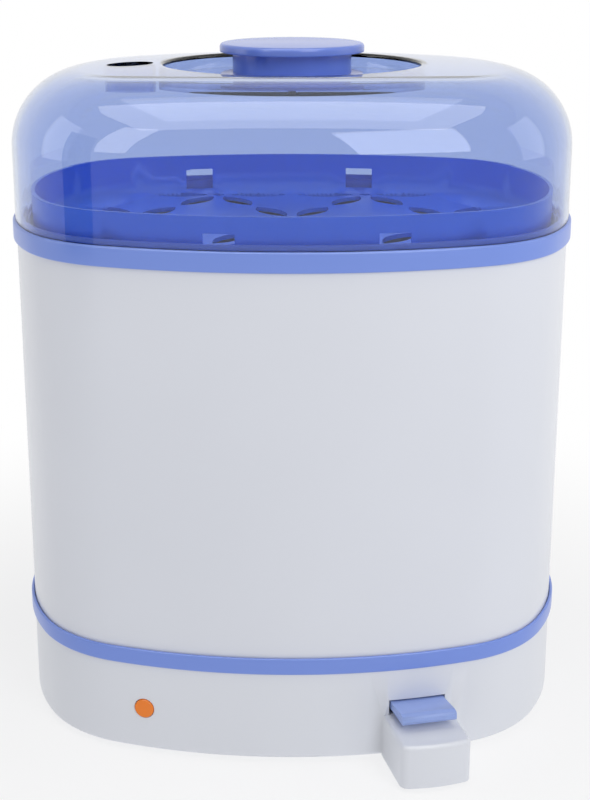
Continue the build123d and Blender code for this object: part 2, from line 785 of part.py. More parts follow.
with BuildPart() as cord_gland:
    disc_on(inlet_frame, inlet_radius - fit, gland_inner, fit)
    disc_on(inlet_frame, gland_flange_radius, fit, gland_front)
    fillet(cord_gland.faces().sort_by(Axis.Y)[-1].edges(), gland_edge_radius)
    disc_on(inlet_frame, gland_lock_radius, gland_back, gland_inner)
    disc_on(inlet_frame, gland_bore_radius, gland_back, gland_front, mode=Mode.SUBTRACT)
keep(cord_gland, "cord_gland")

with BuildPart() as terminal_block:
    with Locations((terminal_x, terminal_y, deck_bottom - terminal_height / 2)):
        Box(terminal_length, terminal_width, terminal_height)
    with Locations((terminal_x, terminal_y, deck_bottom - terminal_height)):
        with GridLocations(terminal_screw_pitch, 0, terminal_screw_count, 1):
            Cylinder(terminal_screw_radius, 2 * terminal_screw_depth, mode=Mode.SUBTRACT)
keep(terminal_block, "terminal_block")

# Lower trim ring: stands on the base's rim, and holds the sleeve between its lip and skirt
with BuildPart() as lower_trim_ring:
    oval_block(0, base_top, lower_ring_top)
    for face in lower_trim_ring.faces().filter_by(Axis.Z):
        fillet(face.edges(), ring_edge_radius)
    oval_block(ring_lip, sleeve_bottom, lower_ring_top, mode=Mode.SUBTRACT)
    oval_block(locating_inner_inset, base_top, sleeve_bottom, mode=Mode.SUBTRACT)
    oval_band(skirt_outer_inset, skirt_inner_inset, sleeve_bottom, sleeve_bottom + ring_skirt_depth)
    oval_band(locating_outer_inset, locating_inner_inset, base_top - locating_depth, base_top)
keep(lower_trim_ring, "lower_trim_ring")

with BuildPart() as body_sleeve:
    oval_band(sleeve_inset, sleeve_inset + sleeve_wall, sleeve_bottom, sleeve_top)
keep(body_sleeve, "body_sleeve")

# Upper trim ring: caps the sleeve, carries the lid on its top and the tray on a ledge inside
with BuildPart() as upper_trim_ring:
    oval_block(0, upper_ring_bottom, upper_ring_top)
    for face in upper_trim_ring.faces().filter_by(Axis.Z):
        fillet(face.edges(), ring_edge_radius)
    oval_block(ring_lip, upper_ring_bottom, sleeve_top, mode=Mode.SUBTRACT)
    oval_block(skirt_inner_inset, sleeve_top, upper_ring_top, mode=Mode.SUBTRACT)
    oval_band(skirt_outer_inset, skirt_inner_inset, tray_bottom - tray_ledge_thickness, sleeve_top)
    oval_band(skirt_outer_inset, tray_ledge_inset, tray_bottom - tray_ledge_thickness, tray_bottom)
    oval_band(bead_outer_inset, bead_inner_inset, upper_ring_top, upper_ring_top + lid_bead_height)
keep(upper_trim_ring, "upper_trim_ring")

# Bottle rack: a floor on legs, and a collar for each bottle
rack_floor_top = rack_floor_z + rack_floor_thickness
post_top = rack_floor_top + post_height
finger_width = grip_width - 2 * grip_bar
finger_height = grip_height - 2 * grip_bar
outer_wells = GridLocations(2 * outer_well_x, 2 * outer_well_y, 2, 2)
middle_wells = GridLocations(0, 2 * middle_well_y, 1, 2)
end_legs = GridLocations(2 * rack_end_leg_x, 0, 2, 1)
side_legs = GridLocations(2 * rack_side_leg_x, 2 * rack_side_leg_y, 2, 2)

spigot_radius = collar_radius - collar_shoulder

with BuildPart() as bottle_rack:
    oval_block(rack_inset, rack_floor_z, rack_floor_top)
    for wells in (outer_wells, middle_wells):
        with wells:
            round_block(spigot_radius + running_fit, rack_floor_z, rack_floor_top, mode=Mode.SUBTRACT)
    # a cross under each well, which the bottle's mouth stands on
    with BuildSketch(Plane.XY.offset(rack_floor_z)) as crosses:
        for wells in (outer_wells, middle_wells):
            with wells:
                Rectangle(2 * collar_radius + 2 * well_wall, well_rib_width)
                Rectangle(well_rib_width, 2 * collar_radius + 2 * well_wall)
    extrude(crosses.sketch, amount=-well_rib_height)
    for legs in (end_legs, side_legs):
        with legs:
            pin_hole = rack_leg_pin_radius + running_fit
            round_block(pin_hole, rack_floor_z, rack_floor_top, mode=Mode.SUBTRACT)
    round_block(post_pin_radius + running_fit, rack_floor_z, rack_floor_top, mode=Mode.SUBTRACT)
keep(bottle_rack, "bottle_rack")

# Rack legs: six studs that stand on the deck, each with a pin through the rack's floor
with BuildPart() as rack_legs:
    for legs in (end_legs, side_legs):
        with legs:
            round_block(rack_leg_radius, deck_top, rack_floor_z)
            round_block(rack_leg_pin_radius, rack_floor_z, rack_floor_top)
keep(rack_legs, "rack_legs")

# Bottle collars: rings that plug into the rack's floor, one at each well
collar_spots = {
    "front_left": (-outer_well_x, -outer_well_y),
    "front_middle": (0, -middle_well_y),
    "front_right": (outer_well_x, -outer_well_y),
    "back_left": (-outer_well_x, outer_well_y),
    "back_middle": (0, middle_well_y),
    "back_right": (outer_well_x, outer_well_y),
}

for spot, (well_x, well_y) in collar_spots.items():
    with BuildPart() as bottle_collar:
        with Locations((well_x, well_y, 0)):
            round_block(collar_radius, rack_floor_top, rack_floor_z + well_height)
            round_block(spigot_radius, rack_floor_z, rack_floor_top)
            round_block(well_radius, rack_floor_z, rack_floor_z + well_height, mode=Mode.SUBTRACT)
    keep(bottle_collar, f"bottle_collar_{spot}")

# Rack handle: a post that stands on the rack's floor, with a pin through it and a looped grip on top
with BuildPart() as rack_handle:
    round_block(post_pin_radius, rack_floor_z, rack_floor_top)
    round_block(post_radius, rack_floor_top, post_top)
    with BuildSketch(Plane.XZ.offset(-grip_thickness / 2)) as grip:
        with Locations((0, post_top + grip_height / 2 - grip_bar)):
            RectangleRounded(grip_width, grip_height, grip_corner)
            RectangleRounded(finger_width, finger_height, grip_hole_corner, mode=Mode.SUBTRACT)
    extrude(grip.sketch, amount=grip_thickness)
keep(rack_handle, "rack_handle")

# Small-parts tray: a drafted cup with water slots and a floor pierced with flowers
tray_foot_inset = tray_rim_inset + tray_height * math.tan(math.radians(tray_draft))
tray_floor_top = tray_bottom + tray_floor
flower_field = oval(tray_foot_inset + tray_wall + flower_margin).face()
row_pitch = flower_pitch * math.sin(math.radians(60))
flower_rows = ((0, -1), (0, 0), (0, 1), (1, -0.5), (1, 0.5), (-1, -0.5), (-1, 0.5))

with BuildPart() as small_parts_tray:
    oval_block(tray_foot_inset, tray_bottom, tray_top, taper=-tray_draft)
    oval_block(tray_foot_inset + tray_wall, tray_floor_top, tray_top, taper=-tray_draft, mode=Mode.SUBTRACT)
    with BuildSketch(Plane.XY.offset(tray_bottom)) as flowers:
        for row, place in flower_rows:
            centre = Vector(place * flower_pitch, row * row_pitch)
            with Locations(centre):
                Circle(flower_eye_radius)
            for petal_number in range(petal_count):
                turn = Location(centre, 360 * petal_number / petal_count)
                if flower_field.is_inside((turn * Location((petal_outer, 0, 0))).position):
                    with Locations(turn):
                        add(petal())
    extrude(flowers.sketch, amount=tray_floor, mode=Mode.SUBTRACT)
    slot_z = tray_floor_top + tray_slot_height / 2
    for slots, slot_y in ((tray_front_slots, -body_half_depth), (tray_back_slots, body_half_depth)):
        with Locations(*((slot_x, slot_y, slot_z) for slot_x in slots)):
            Box(tray_slot_width, body_half_depth / 2, tray_slot_height, mode=Mode.SUBTRACT)
keep(small_parts_tray, "small_parts_tray")

# Lid: a clear dome with a dish for the knob and a steam vent beside it.
# The crown's sphere lies on its side, so that its poles stay off the lid.
crown_frame = Location((0, 0, lid_top - lid_crown_radius), (90, 0, 0))

with BuildPart() as lid_hollow:
    oval_block(lid_inset + lid_wall, upper_ring_top, lid_top + cut_over)
    with Locations(crown_frame):
        Sphere(lid_crown_radius - lid_wall, mode=Mode.INTERSECT)
    fillet(lid_hollow.faces().sort_by(Axis.Z)[-1].edges(), lid_shoulder_radius - lid_wall)
    round_block(dish_radius + lid_wall, dish_floor - lid_wall, lid_top + cut_over, mode=Mode.SUBTRACT)
    with Locations((vent_x, 0, 0)):
        round_block(vent_bore_radius + vent_wall, lid_top - vent_tube_length, lid_top, mode=Mode.SUBTRACT)

with BuildPart() as lid_shell:
    oval_block(lid_inset, upper_ring_top, lid_top + cut_over)
    with Locations(crown_frame):
        Sphere(lid_crown_radius, mode=Mode.INTERSECT)
    fillet(lid_shell.faces().sort_by(Axis.Z)[-1].edges(), lid_shoulder_radius)
    add(lid_hollow.part, mode=Mode.SUBTRACT)
    round_block(dish_radius, dish_floor, lid_top + cut_over, mode=Mode.SUBTRACT)
    fillet(lid_shell.edges(Select.LAST).group_by(Axis.Z)[-1], dish_edge_radius)
    with Locations((vent_x, 0, 0)):
        round_block(vent_bore_radius, upper_ring_top, lid_top, mode=Mode.SUBTRACT)
    round_block(knob_screw_radius + fit, dish_floor - lid_wall, dish_floor, mode=Mode.SUBTRACT)
keep(lid_shell, "lid_shell")

# Lid knob: flange on the dish, hollow neck, and a cap whose boss takes the screw
knob_flange_top = dish_floor + knob_flange_height
knob_neck_top = knob_flange_top + knob_neck_height
knob_cap_top = knob_neck_top + knob_cap_height
knob_underside = dish_floor - lid_wall - knob_washer_height

with BuildPart() as knob_flange:
    round_block(knob_flange_radius, dish_floor, knob_flange_top)
    fillet(knob_flange.faces().sort_by(Axis.Z)[-1].edges(), knob_flange_edge)
    round_block(knob_boss_radius + fit, dish_floor, knob_flange_top, mode=Mode.SUBTRACT)
keep(knob_flange, "knob_flange")

with BuildPart() as knob_neck:
    round_block(knob_neck_radius, knob_flange_top, knob_neck_top)
    round_block(knob_neck_radius - knob_neck_wall, knob_flange_top, knob_neck_top, mode=Mode.SUBTRACT)
keep(knob_neck, "knob_neck")

with BuildPart() as knob_cap:
    round_block(knob_cap_radius, knob_neck_top, knob_cap_top)
    fillet(knob_cap.faces().sort_by(Axis.Z)[-1].edges(), knob_cap_edge)
    round_block(knob_boss_radius, dish_floor, knob_neck_top)
    thread_top = dish_floor + knob_screw_grip + knob_screw_spare
    round_block(knob_screw_radius + running_fit, dish_floor, thread_top, mode=Mode.SUBTRACT)
keep(knob_cap, "knob_cap")

with BuildPart() as knob_washer:
    round_block(knob_washer_radius, knob_underside, dish_floor - lid_wall)
    round_block(knob_screw_radius + fit, knob_underside, dish_floor - lid_wall, mode=Mode.SUBTRACT)
keep(knob_washer, "knob_washer")

with BuildPart() as knob_screw:
    round_block(knob_screw_head_radius, knob_underside - knob_screw_head_height, knob_underside)
    fillet(knob_screw.faces().sort_by(Axis.Z)[0].edges(), knob_screw_head_edge)
    round_block(knob_screw_radius, knob_underside, dish_floor + knob_screw_grip)
keep(knob_screw, "knob_screw")
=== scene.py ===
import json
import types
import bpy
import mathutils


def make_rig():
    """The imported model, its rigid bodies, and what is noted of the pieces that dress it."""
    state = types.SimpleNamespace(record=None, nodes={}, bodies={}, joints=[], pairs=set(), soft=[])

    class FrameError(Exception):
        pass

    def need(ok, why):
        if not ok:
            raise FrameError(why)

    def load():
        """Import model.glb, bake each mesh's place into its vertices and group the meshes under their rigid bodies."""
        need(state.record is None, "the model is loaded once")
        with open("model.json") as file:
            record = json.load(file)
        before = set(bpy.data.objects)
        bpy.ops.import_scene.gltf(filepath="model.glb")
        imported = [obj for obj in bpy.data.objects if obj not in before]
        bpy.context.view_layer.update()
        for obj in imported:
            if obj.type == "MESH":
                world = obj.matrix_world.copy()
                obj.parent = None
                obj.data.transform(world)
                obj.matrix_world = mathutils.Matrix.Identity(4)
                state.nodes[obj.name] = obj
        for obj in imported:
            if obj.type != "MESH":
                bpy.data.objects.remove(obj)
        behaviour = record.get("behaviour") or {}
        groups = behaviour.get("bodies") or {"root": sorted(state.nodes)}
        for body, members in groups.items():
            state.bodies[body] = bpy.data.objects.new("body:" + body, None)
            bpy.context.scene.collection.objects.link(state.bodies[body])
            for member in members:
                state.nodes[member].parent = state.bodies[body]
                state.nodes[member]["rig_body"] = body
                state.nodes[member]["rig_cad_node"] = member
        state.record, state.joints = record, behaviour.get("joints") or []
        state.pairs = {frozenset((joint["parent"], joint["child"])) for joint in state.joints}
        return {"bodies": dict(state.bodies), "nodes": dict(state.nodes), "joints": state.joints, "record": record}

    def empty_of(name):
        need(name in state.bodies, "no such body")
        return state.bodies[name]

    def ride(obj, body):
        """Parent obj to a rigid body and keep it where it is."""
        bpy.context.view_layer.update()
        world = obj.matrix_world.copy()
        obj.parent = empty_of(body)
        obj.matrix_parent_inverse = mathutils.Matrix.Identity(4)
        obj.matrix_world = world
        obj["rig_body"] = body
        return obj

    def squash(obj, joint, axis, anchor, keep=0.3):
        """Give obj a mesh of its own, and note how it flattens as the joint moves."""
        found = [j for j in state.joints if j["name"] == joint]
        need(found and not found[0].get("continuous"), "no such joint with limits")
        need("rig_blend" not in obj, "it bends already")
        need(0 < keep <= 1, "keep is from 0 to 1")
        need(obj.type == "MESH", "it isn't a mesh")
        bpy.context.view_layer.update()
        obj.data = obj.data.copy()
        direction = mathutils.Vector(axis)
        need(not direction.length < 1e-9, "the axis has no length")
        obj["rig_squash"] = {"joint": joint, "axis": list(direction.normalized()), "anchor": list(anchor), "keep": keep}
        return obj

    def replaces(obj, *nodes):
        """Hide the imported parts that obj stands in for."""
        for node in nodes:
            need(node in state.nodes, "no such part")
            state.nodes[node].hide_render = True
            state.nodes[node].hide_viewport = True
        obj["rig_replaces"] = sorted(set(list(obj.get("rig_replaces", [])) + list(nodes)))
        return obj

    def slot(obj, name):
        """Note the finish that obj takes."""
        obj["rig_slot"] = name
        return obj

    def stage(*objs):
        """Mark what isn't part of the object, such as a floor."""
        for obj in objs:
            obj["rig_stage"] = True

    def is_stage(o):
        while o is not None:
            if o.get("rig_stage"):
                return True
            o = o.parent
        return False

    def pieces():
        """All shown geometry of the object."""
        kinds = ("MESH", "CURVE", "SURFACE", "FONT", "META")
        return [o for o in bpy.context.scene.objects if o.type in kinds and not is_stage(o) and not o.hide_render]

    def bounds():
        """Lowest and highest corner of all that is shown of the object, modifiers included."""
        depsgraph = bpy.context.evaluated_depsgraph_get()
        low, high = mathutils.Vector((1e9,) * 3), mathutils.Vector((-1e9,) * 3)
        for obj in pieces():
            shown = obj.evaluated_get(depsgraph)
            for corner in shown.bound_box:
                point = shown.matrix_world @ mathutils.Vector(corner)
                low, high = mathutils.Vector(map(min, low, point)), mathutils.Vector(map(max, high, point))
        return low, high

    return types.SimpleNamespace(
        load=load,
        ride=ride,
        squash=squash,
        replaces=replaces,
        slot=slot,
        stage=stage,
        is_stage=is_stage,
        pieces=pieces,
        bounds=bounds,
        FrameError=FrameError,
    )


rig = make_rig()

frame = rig.load()

import json
import logging
import math
from abc import ABC, abstractmethod
from dataclasses import dataclass
from enum import Enum

import bmesh
import bpy
import numpy as np
from mathutils import Vector

LOG = logging.getLogger("sterilizer")

# How far the oval's centre stands behind the object's origin
SETBACK = 0.0127

# Edges that bend by more degrees than this are shaded sharp
SHARP_ANGLE = 32

# Points closer than this are one point, in a new piece and in a copy of a frame node
PIECE_WELD = 2e-6
COPY_WELD = 1e-6

# An edge shorter than this is taken out of a new piece
SHORTEST_EDGE = 1e-6

# Octaves of a soft noise and of one that stands for wear
SOFT = 2.0
WORN = 3.0


def write_size(path: str = "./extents.json", stage: str = "frame") -> None:
    """Write the shown object's bounds.

    Args:
        path: file that holds one entry for each stage.
        stage: name of the entry, the bare frame or the finished scene.
    """
    low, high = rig.bounds()
    sizes = {}
    if stage != "frame":
        with open(path) as source:
            sizes = json.load(source)
    sizes[stage] = [[float(v) for v in low], [float(v) for v in high]]
    with open(path, "w") as target:
        json.dump(sizes, target)


write_size()


def linear(colour: tuple[float, float, float]) -> tuple[float, float, float, float]:
    """Turn a display colour into a linear one.

    This is the sRGB curve: a value up to 0.04045 over 12.92, and above it (value + 0.055) / 1.055 to the
    power 2.4.

    Args:
        colour: red, green and blue as displayed, 0 to 255.

    Returns:
        The linear colour with alpha 1.
    """
    shown = np.asarray(colour, float) / 255
    light = np.where(shown <= 0.04045, shown / 12.92, ((shown + 0.055) / 1.055) ** 2.4)
    return (float(light[0]), float(light[1]), float(light[2]), 1.0)


class Grain(Enum):
    """Scale of the noise that a moulding's skin shows, in waves to the metre."""

    POLISHED = 60.0
    SATIN = 900.0
    FROSTED = 2600.0


@dataclass(frozen=True)
class Bench:
    """The nodes that a finish is made from: the tree, its shader and the piece's own coordinates."""

    tree: bpy.types.NodeTree
    shader: bpy.types.Node
    place: bpy.types.Node

    def noise(self, waves: float, octaves: float) -> bpy.types.Node:
        """Add a noise that lies on the piece's own coordinates.

        Args:
            waves: waves to the metre.
            octaves: how many finer layers the noise has.

        Returns:
            The noise node.
        """
        made = self.tree.nodes.new("ShaderNodeTexNoise")
        made.inputs["Scale"].default_value = waves
        made.inputs["Detail"].default_value = octaves
        self.tree.links.new(self.place.outputs["Object"], made.inputs["Vector"])
        return made

    def vary_roughness(self, cloud: bpy.types.Node, roughness: float, swing: float) -> None:
        """Let the roughness drift with a noise, from (1 - swing) to (1 + swing) times its value.

        Args:
            cloud: the noise.
            roughness: the value in the middle.
            swing: share of it by which it drifts either way.
        """
        spread = self.tree.nodes.new("ShaderNodeMapRange")
        spread.inputs["To Min"].default_value = roughness * (1 - swing)
        spread.inputs["To Max"].default_value = roughness * (1 + swing)
        self.tree.links.new(cloud.outputs["Fac"], spread.inputs["Value"])
        self.tree.links.new(spread.outputs["Result"], self.shader.inputs["Roughness"])

    def vary_colour(self, cloud: bpy.types.Node, colour: tuple[float, float, float], drift: float) -> None:
        """Let the colour drift with the noise's middle range, from (1 - drift) times its value to its value.

        Args:
            cloud: the noise.
            colour: the display colour.
            drift: share by which it darkens.
        """
        ramp = self.tree.nodes.new("ShaderNodeValToRGB")
        base = np.array(linear(colour))
        shade = np.array([1 - drift, 1 - drift, 1 - drift, 1])
        dark, full = ramp.color_ramp.elements
        dark.position, full.position = 0.3, 0.7
        dark.color, full.color = tuple(base * shade), tuple(base)
        self.tree.links.new(cloud.outputs["Fac"], ramp.inputs["Fac"])
        self.tree.links.new(ramp.outputs["Color"], self.shader.inputs["Base Color"])

    def add_relief(self, waves: float, strength: float, depth: float = 0.0002) -> None:
        """Roughen the shader's normal with fine noise.

        Args:
            waves: waves to the metre.
            strength: strength of the relief, 0 to 1.
            depth: its depth in metres.
        """
        grain = self.noise(waves, SOFT)
        relief = self.tree.nodes.new("ShaderNodeBump")
        relief.inputs["Strength"].default_value = strength
        relief.inputs["Distance"].default_value = depth
        self.tree.links.new(grain.outputs["Fac"], relief.inputs["Height"])
        self.tree.links.new(relief.outputs["Normal"], self.shader.inputs["Normal"])


@dataclass(frozen=True)
class Finish(ABC):
    """What every finish has: its material's name, its slot and its display colour."""

    name: str
    slot: str
    colour: tuple[float, float, float]

    def material(self) -> bpy.types.Material:
        """Make this finish's material when it is first asked for.

        Returns:
            The one material of this finish.
        """
        made = bpy.data.materials.get(self.name)
        if made is None:
            made = bpy.data.materials.new(self.name)
            made.use_nodes = True
            made.diffuse_color = self.flat_colour()
            tree = made.node_tree
            self.wire(Bench(tree, tree.nodes["Principled BSDF"], tree.nodes.new("ShaderNodeTexCoord")))
        return made

    def flat_colour(self) -> tuple[float, float, float, float]:
        """Return the colour of a view without shading."""
        return linear(self.colour)

    @abstractmethod
    def wire(self, bench: Bench) -> None:
        """Set the shader up.

        Args:
            bench: the material's nodes.
        """


@dataclass(frozen=True)
class Plastic(Finish):
    """A moulded plastic: an even colour with a little drift, and a skin with fine grain."""

    roughness: float = 0.3
    grain: Grain = Grain.SATIN
    relief: float = 0.04
    drift: float = 0.03
    cloud_waves: float = 9.0
    wear_waves: float = 40.0
    swing: float = 0.08
    ior: float = 1.49

    def wire(self, bench: Bench) -> None:
        """Set the shader up.

        Args:
            bench: the material's nodes.
        """
        bench.vary_colour(bench.noise(self.cloud_waves, SOFT), self.colour, self.drift)
        bench.vary_roughness(bench.noise(self.wear_waves, WORN), self.roughness, self.swing)
        if self.relief:
            bench.add_relief(self.grain.value, self.relief)
        bench.shader.inputs["IOR"].default_value = self.ior


@dataclass(frozen=True)
class Metal(Finish):
    """A metal with brushed or cast grain, and wear in longer waves."""

    roughness: float = 0.3
    grain: float = 1500.0
    relief: float = 0.05
    wear_length: float = 6.0
    swing: float = 0.2

    def wire(self, bench: Bench) -> None:
        """Set the shader up.

        Args:
            bench: the material's nodes.
        """
        bench.shader.inputs["Metallic"].default_value = 1.0
        bench.shader.inputs["Base Color"].default_value = linear(self.colour)
        bench.vary_roughness(bench.noise(self.grain / self.wear_length, WORN), self.roughness, self.swing)
        bench.add_relief(self.grain, self.relief)


@dataclass(frozen=True)
class Clear(Finish):
    """A clear moulding: light passes through it and takes up its tint in the wall."""

    roughness: float = 0.02
    ior: float = 1.45
    clearness: float = 1.0
    haze_waves: float = 30.0
    swing: float = 0.3
    flat_alpha: float = 0.35

    def flat_colour(self) -> tuple[float, float, float, float]:
        """Return the colour of a view without shading, part see-through."""
        return (*linear(self.colour)[:3], self.flat_alpha)

    def wire(self, bench: Bench) -> None:
        """Set the shader up.

        Args:
            bench: the material's nodes.
        """
        bench.shader.inputs["Base Color"].default_value = linear(self.colour)
        bench.shader.inputs["Transmission Weight"].default_value = self.clearness
        bench.shader.inputs["IOR"].default_value = self.ior
        bench.vary_roughness(bench.noise(self.haze_waves, SOFT), self.roughness, self.swing)


WHITE = Plastic("white_moulding", "white_plastic", (222, 225, 233), 0.32)
FROSTED = Plastic("frosted_sleeve", "frosted_plastic", (221, 224, 233), 0.26, Grain.FROSTED, 0.02)
PALE_BLUE = Plastic("pale_blue_moulding", "pale_blue_plastic", (118, 145, 224), 0.3, relief=0.015)
# The lever is the rings' pale blue plastic painted lighter: a lit copy of that material, which paints the light on the
# lever's top.
LIT_PALE_BLUE = Plastic("pale_blue_lit_lever", "pale_blue_plastic", (152, 174, 233), 0.34, relief=0.015)
MID_BLUE = Plastic("mid_blue_knob", "mid_blue_plastic", (108, 135, 222), 0.2, Grain.POLISHED, 0.0)
DEEP_BLUE = Plastic("deep_blue_tray", "deep_blue_plastic", (84, 142, 250), 0.22, Grain.POLISHED, 0.0)
BLACK = Plastic("black_phenolic", "black_plastic", (34, 34, 36), 0.45)
NYLON = Plastic("natural_nylon", "nylon", (226, 221, 206), 0.5)
SILICONE = Plastic("silicone_seal", "silicone", (214, 214, 210), 0.6)
FOOT_RUBBER = Plastic("dark_rubber", "foot_rubber", (52, 52, 54), 0.7)
STEEL = Metal("zinc_plated_steel", "steel", (186, 188, 190), 0.28)
PLATE = Metal("plate_steel", "stainless_plate", (200, 201, 203), 0.22, 2400.0, 0.08)
CAST = Metal("cast_alloy", "cast_aluminium", (190, 190, 190), 0.5, 900.0, 0.25)
BRASS = Metal("fuse_case", "fuse_brass", (202, 174, 116), 0.35)
FERRITE = Plastic("sintered_ferrite", "ferrite", (52, 52, 55), 0.6)
CLEAR_LID = Clear("tinted_lid", "clear_lid", (193, 206, 236), 0.004)
ORANGE_LENS = Clear("amber_lens", "orange_lens", (255, 138, 38), 0.16, 1.45, 0.15)
LAMP_GLASS = Clear("glow_glass", "lamp_glass", (250, 236, 214))


@dataclass
class Outline:
    """The oval plan: two end arcs, two side arcs and four corner arcs, all tangent."""

    half_width: float = 0.140
    half_depth: float = 0.105
    side_radius: float = 0.265
    end_radius: float = 0.124
    corner_radius: float = 0.068
    end_columns: int = 28
    side_columns: int = 44
    corner_columns: int = 24

    def arcs(self) -> list[tuple[float, float, float, float, float, int]]:
        """Work out the arcs.

        The two tangent circles' centres lie on the axes, and the corner circle's centre is the point whose
        distances from them are the differences of the radii.

        Returns:
            Each arc as centre x and y, radius, first angle, last angle and columns, in order.
        """
        side_y = self.half_depth - self.side_radius
        end_x = self.half_width - self.end_radius
        gap = math.hypot(end_x, side_y)
        side_reach = self.side_radius - self.corner_radius
        end_reach = self.end_radius - self.corner_radius
        cosine = (gap**2 + side_reach**2 - end_reach**2) / (2 * gap * side_reach)
        side_angle = math.atan2(-side_y, end_x) - math.acos(cosine)
        corner_x = side_reach * math.cos(side_angle)
        corner_y = side_y + side_reach * math.sin(side_angle)
        end_angle = math.atan2(corner_y, corner_x - end_x)
        half_turn = math.pi
        end, side, corner = self.end_columns, self.side_columns, self.corner_columns
        radii = self.end_radius, self.side_radius, self.corner_radius
        return [
            (end_x, 0, radii[0], -end_angle, end_angle, end),
            (corner_x, corner_y, radii[2], end_angle, side_angle, corner),
            (0, side_y, radii[1], side_angle, half_turn - side_angle, side),
            (-corner_x, corner_y, radii[2], half_turn - side_angle, half_turn - end_angle, corner),
            (-end_x, 0, radii[0], half_turn - end_angle, half_turn + end_angle, end),
            (-corner_x, -corner_y, radii[2], half_turn + end_angle, half_turn + side_angle, corner),
            (0, -side_y, radii[1], half_turn + side_angle, 2 * half_turn - side_angle, side),
            (corner_x, -corner_y, radii[2], 2 * half_turn - side_angle, 2 * half_turn - end_angle, corner),
        ]

    def ring(self) -> tuple[np.ndarray, np.ndarray]:
        """Space points evenly on each arc: centre + radius x (cos, sin) of the angle.

        Returns:
            The outline's points and its outward normals, each of shape (columns, 2).
        """
        points, normals = [], []
        for x, y, radius, first, last, count in self.arcs():
            angle = np.linspace(first, last, count, endpoint=False)
            normal = np.stack([np.cos(angle), np.sin(angle)], axis=1)
            points.append(np.array([x, y]) + radius * normal)
            normals.append(normal)
        return np.concatenate(points), np.concatenate(normals)


OUTLINE = Outline()


class Patchwork:
    """Grids of points about the oval's centre, joined into one mesh where their edges meet."""

    def __init__(self) -> None:
        """Start with no points and no faces."""
        self.points: list[np.ndarray] = []
        self.faces: list[np.ndarray] = []
        self.count = 0

    def grid(self, points: np.ndarray, keep: np.ndarray | None = None) -> None:
        """Add a grid of quads whose last column joins the first.

        Args:
            points: array of shape (rows, columns, 3).
            keep: which quads to keep, of shape (rows - 1, columns), or None for all.
        """
        rows, columns = points.shape[:2]
        index = np.arange(rows * columns).reshape(rows, columns) + self.count
        right = np.roll(index, -1, axis=1)
        quads = np.stack([index[:-1], right[:-1], right[1:], index[1:]], axis=-1)
        if keep is not None:
            quads = quads[keep]
        self.points.append(points.reshape(-1, 3))
        self.faces.append(quads.reshape(-1, 4))
        self.count += rows * columns

    def build(self, name: str, finish: Finish, body: str, *nodes: str) -> bpy.types.Object:
        """Weld the patches into the finished piece.

        Args:
            name: the piece's name.
            finish: its finish.
            body: the body that it rides on.
            nodes: the nodes that it stands for.

        Returns:
            The piece, smooth shaded with sharp edges kept.
        """
        mesh = bpy.data.meshes.new(name)
        points = np.concatenate(self.points) + np.array([0, SETBACK, 0])
        mesh.from_pydata(points.tolist(), [], np.concatenate(self.faces).tolist())
        shape = bmesh.new()
        shape.from_mesh(mesh)
        bmesh.ops.remove_doubles(shape, verts=shape.verts, dist=PIECE_WELD)
        bmesh.ops.dissolve_degenerate(shape, edges=shape.edges, dist=SHORTEST_EDGE)
        bmesh.ops.recalc_face_normals(shape, faces=shape.faces)
        shape.to_mesh(mesh)
        shape.free()
        return dress(mesh, name, finish, body, *nodes)


def dress(mesh: bpy.types.Mesh, name: str, finish: Finish, body: str, *nodes: str) -> bpy.types.Object:
    """Put a mesh into the scene as a piece of the object.

    Args:
        mesh: the finished mesh, in its place.
        name: the piece's name.
        finish: its finish.
        body: the body that it rides on.
        nodes: the nodes that it stands for.

    Returns:
        The piece.
    """
    piece = bpy.data.objects.new(name, mesh)
    bpy.context.scene.collection.objects.link(piece)
    mesh.materials.clear()
    mesh.materials.append(finish.material())
    mesh.shade_smooth()
    mesh.set_sharp_from_angle(angle=math.radians(SHARP_ANGLE))
    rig.ride(piece, body)
    if nodes:
        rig.replaces(piece, *nodes)
    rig.slot(piece, finish.slot)
    LOG.info("%s: %d faces", name, len(mesh.polygons))
    return piece


def refined(node: str, finish: Finish, body: str) -> bpy.types.Object:
    """Dress a smooth shaded copy of a frame node, its loose triangles merged.

    Args:
        node: the node's name.
        finish: the copy's finish.
        body: the body that the copy rides on.

    Returns:
        The copy.
    """
    mesh = frame["nodes"][node].data.copy()
    shape = bmesh.new()
    shape.from_mesh(mesh)
    bmesh.ops.remove_doubles(shape, verts=shape.verts, dist=COPY_WELD)
    shape.to_mesh(mesh)
    shape.free()
    return dress(mesh, f"{node}_dressed", finish, body, node)


def rounded(corners: list[tuple[float, float, float]], steps: int = 5) -> np.ndarray:
    """Round the corners of a closed outline.

    Each corner's arc touches both sides at radius / tan(half angle) from the corner, and its points are
    spaced evenly on the arc.

    Args:
        corners: each corner's two coordinates and its radius, in order.
        steps: spans to an arc.

    Returns:
        The outline's points, of shape (n, 2), with the first one once more at the end.
    """
    points = []
    data = np.asarray(corners, float)
    for before, here, after in zip(np.roll(data, 1, axis=0), data, np.roll(data, -1, axis=0)):
        corner, radius = here[:2], here[2]
        if radius <= 0:
            points.append(corner[None])
            continue
        to_before = (before[:2] - corner) / np.linalg.norm(before[:2] - corner)
        to_after = (after[:2] - corner) / np.linalg.norm(after[:2] - corner)
        half = math.acos(float(np.clip(to_before @ to_after, -1, 1))) / 2
        inward = (to_before + to_after) / np.linalg.norm(to_before + to_after)
        middle = corner + inward * radius / math.sin(half)
        start = corner + to_before * radius / math.tan(half) - middle
        end = corner + to_after * radius / math.tan(half) - middle
        turn = math.atan2(start[0] * end[1] - start[1] * end[0], float(start @ end))
        angle = math.atan2(start[1], start[0]) + np.linspace(0, turn, steps + 1)
        points.append(middle + radius * np.stack([np.cos(angle), np.sin(angle)], axis=1))
    outline = np.concatenate(points)
    return np.concatenate([outline, outline[:1]])


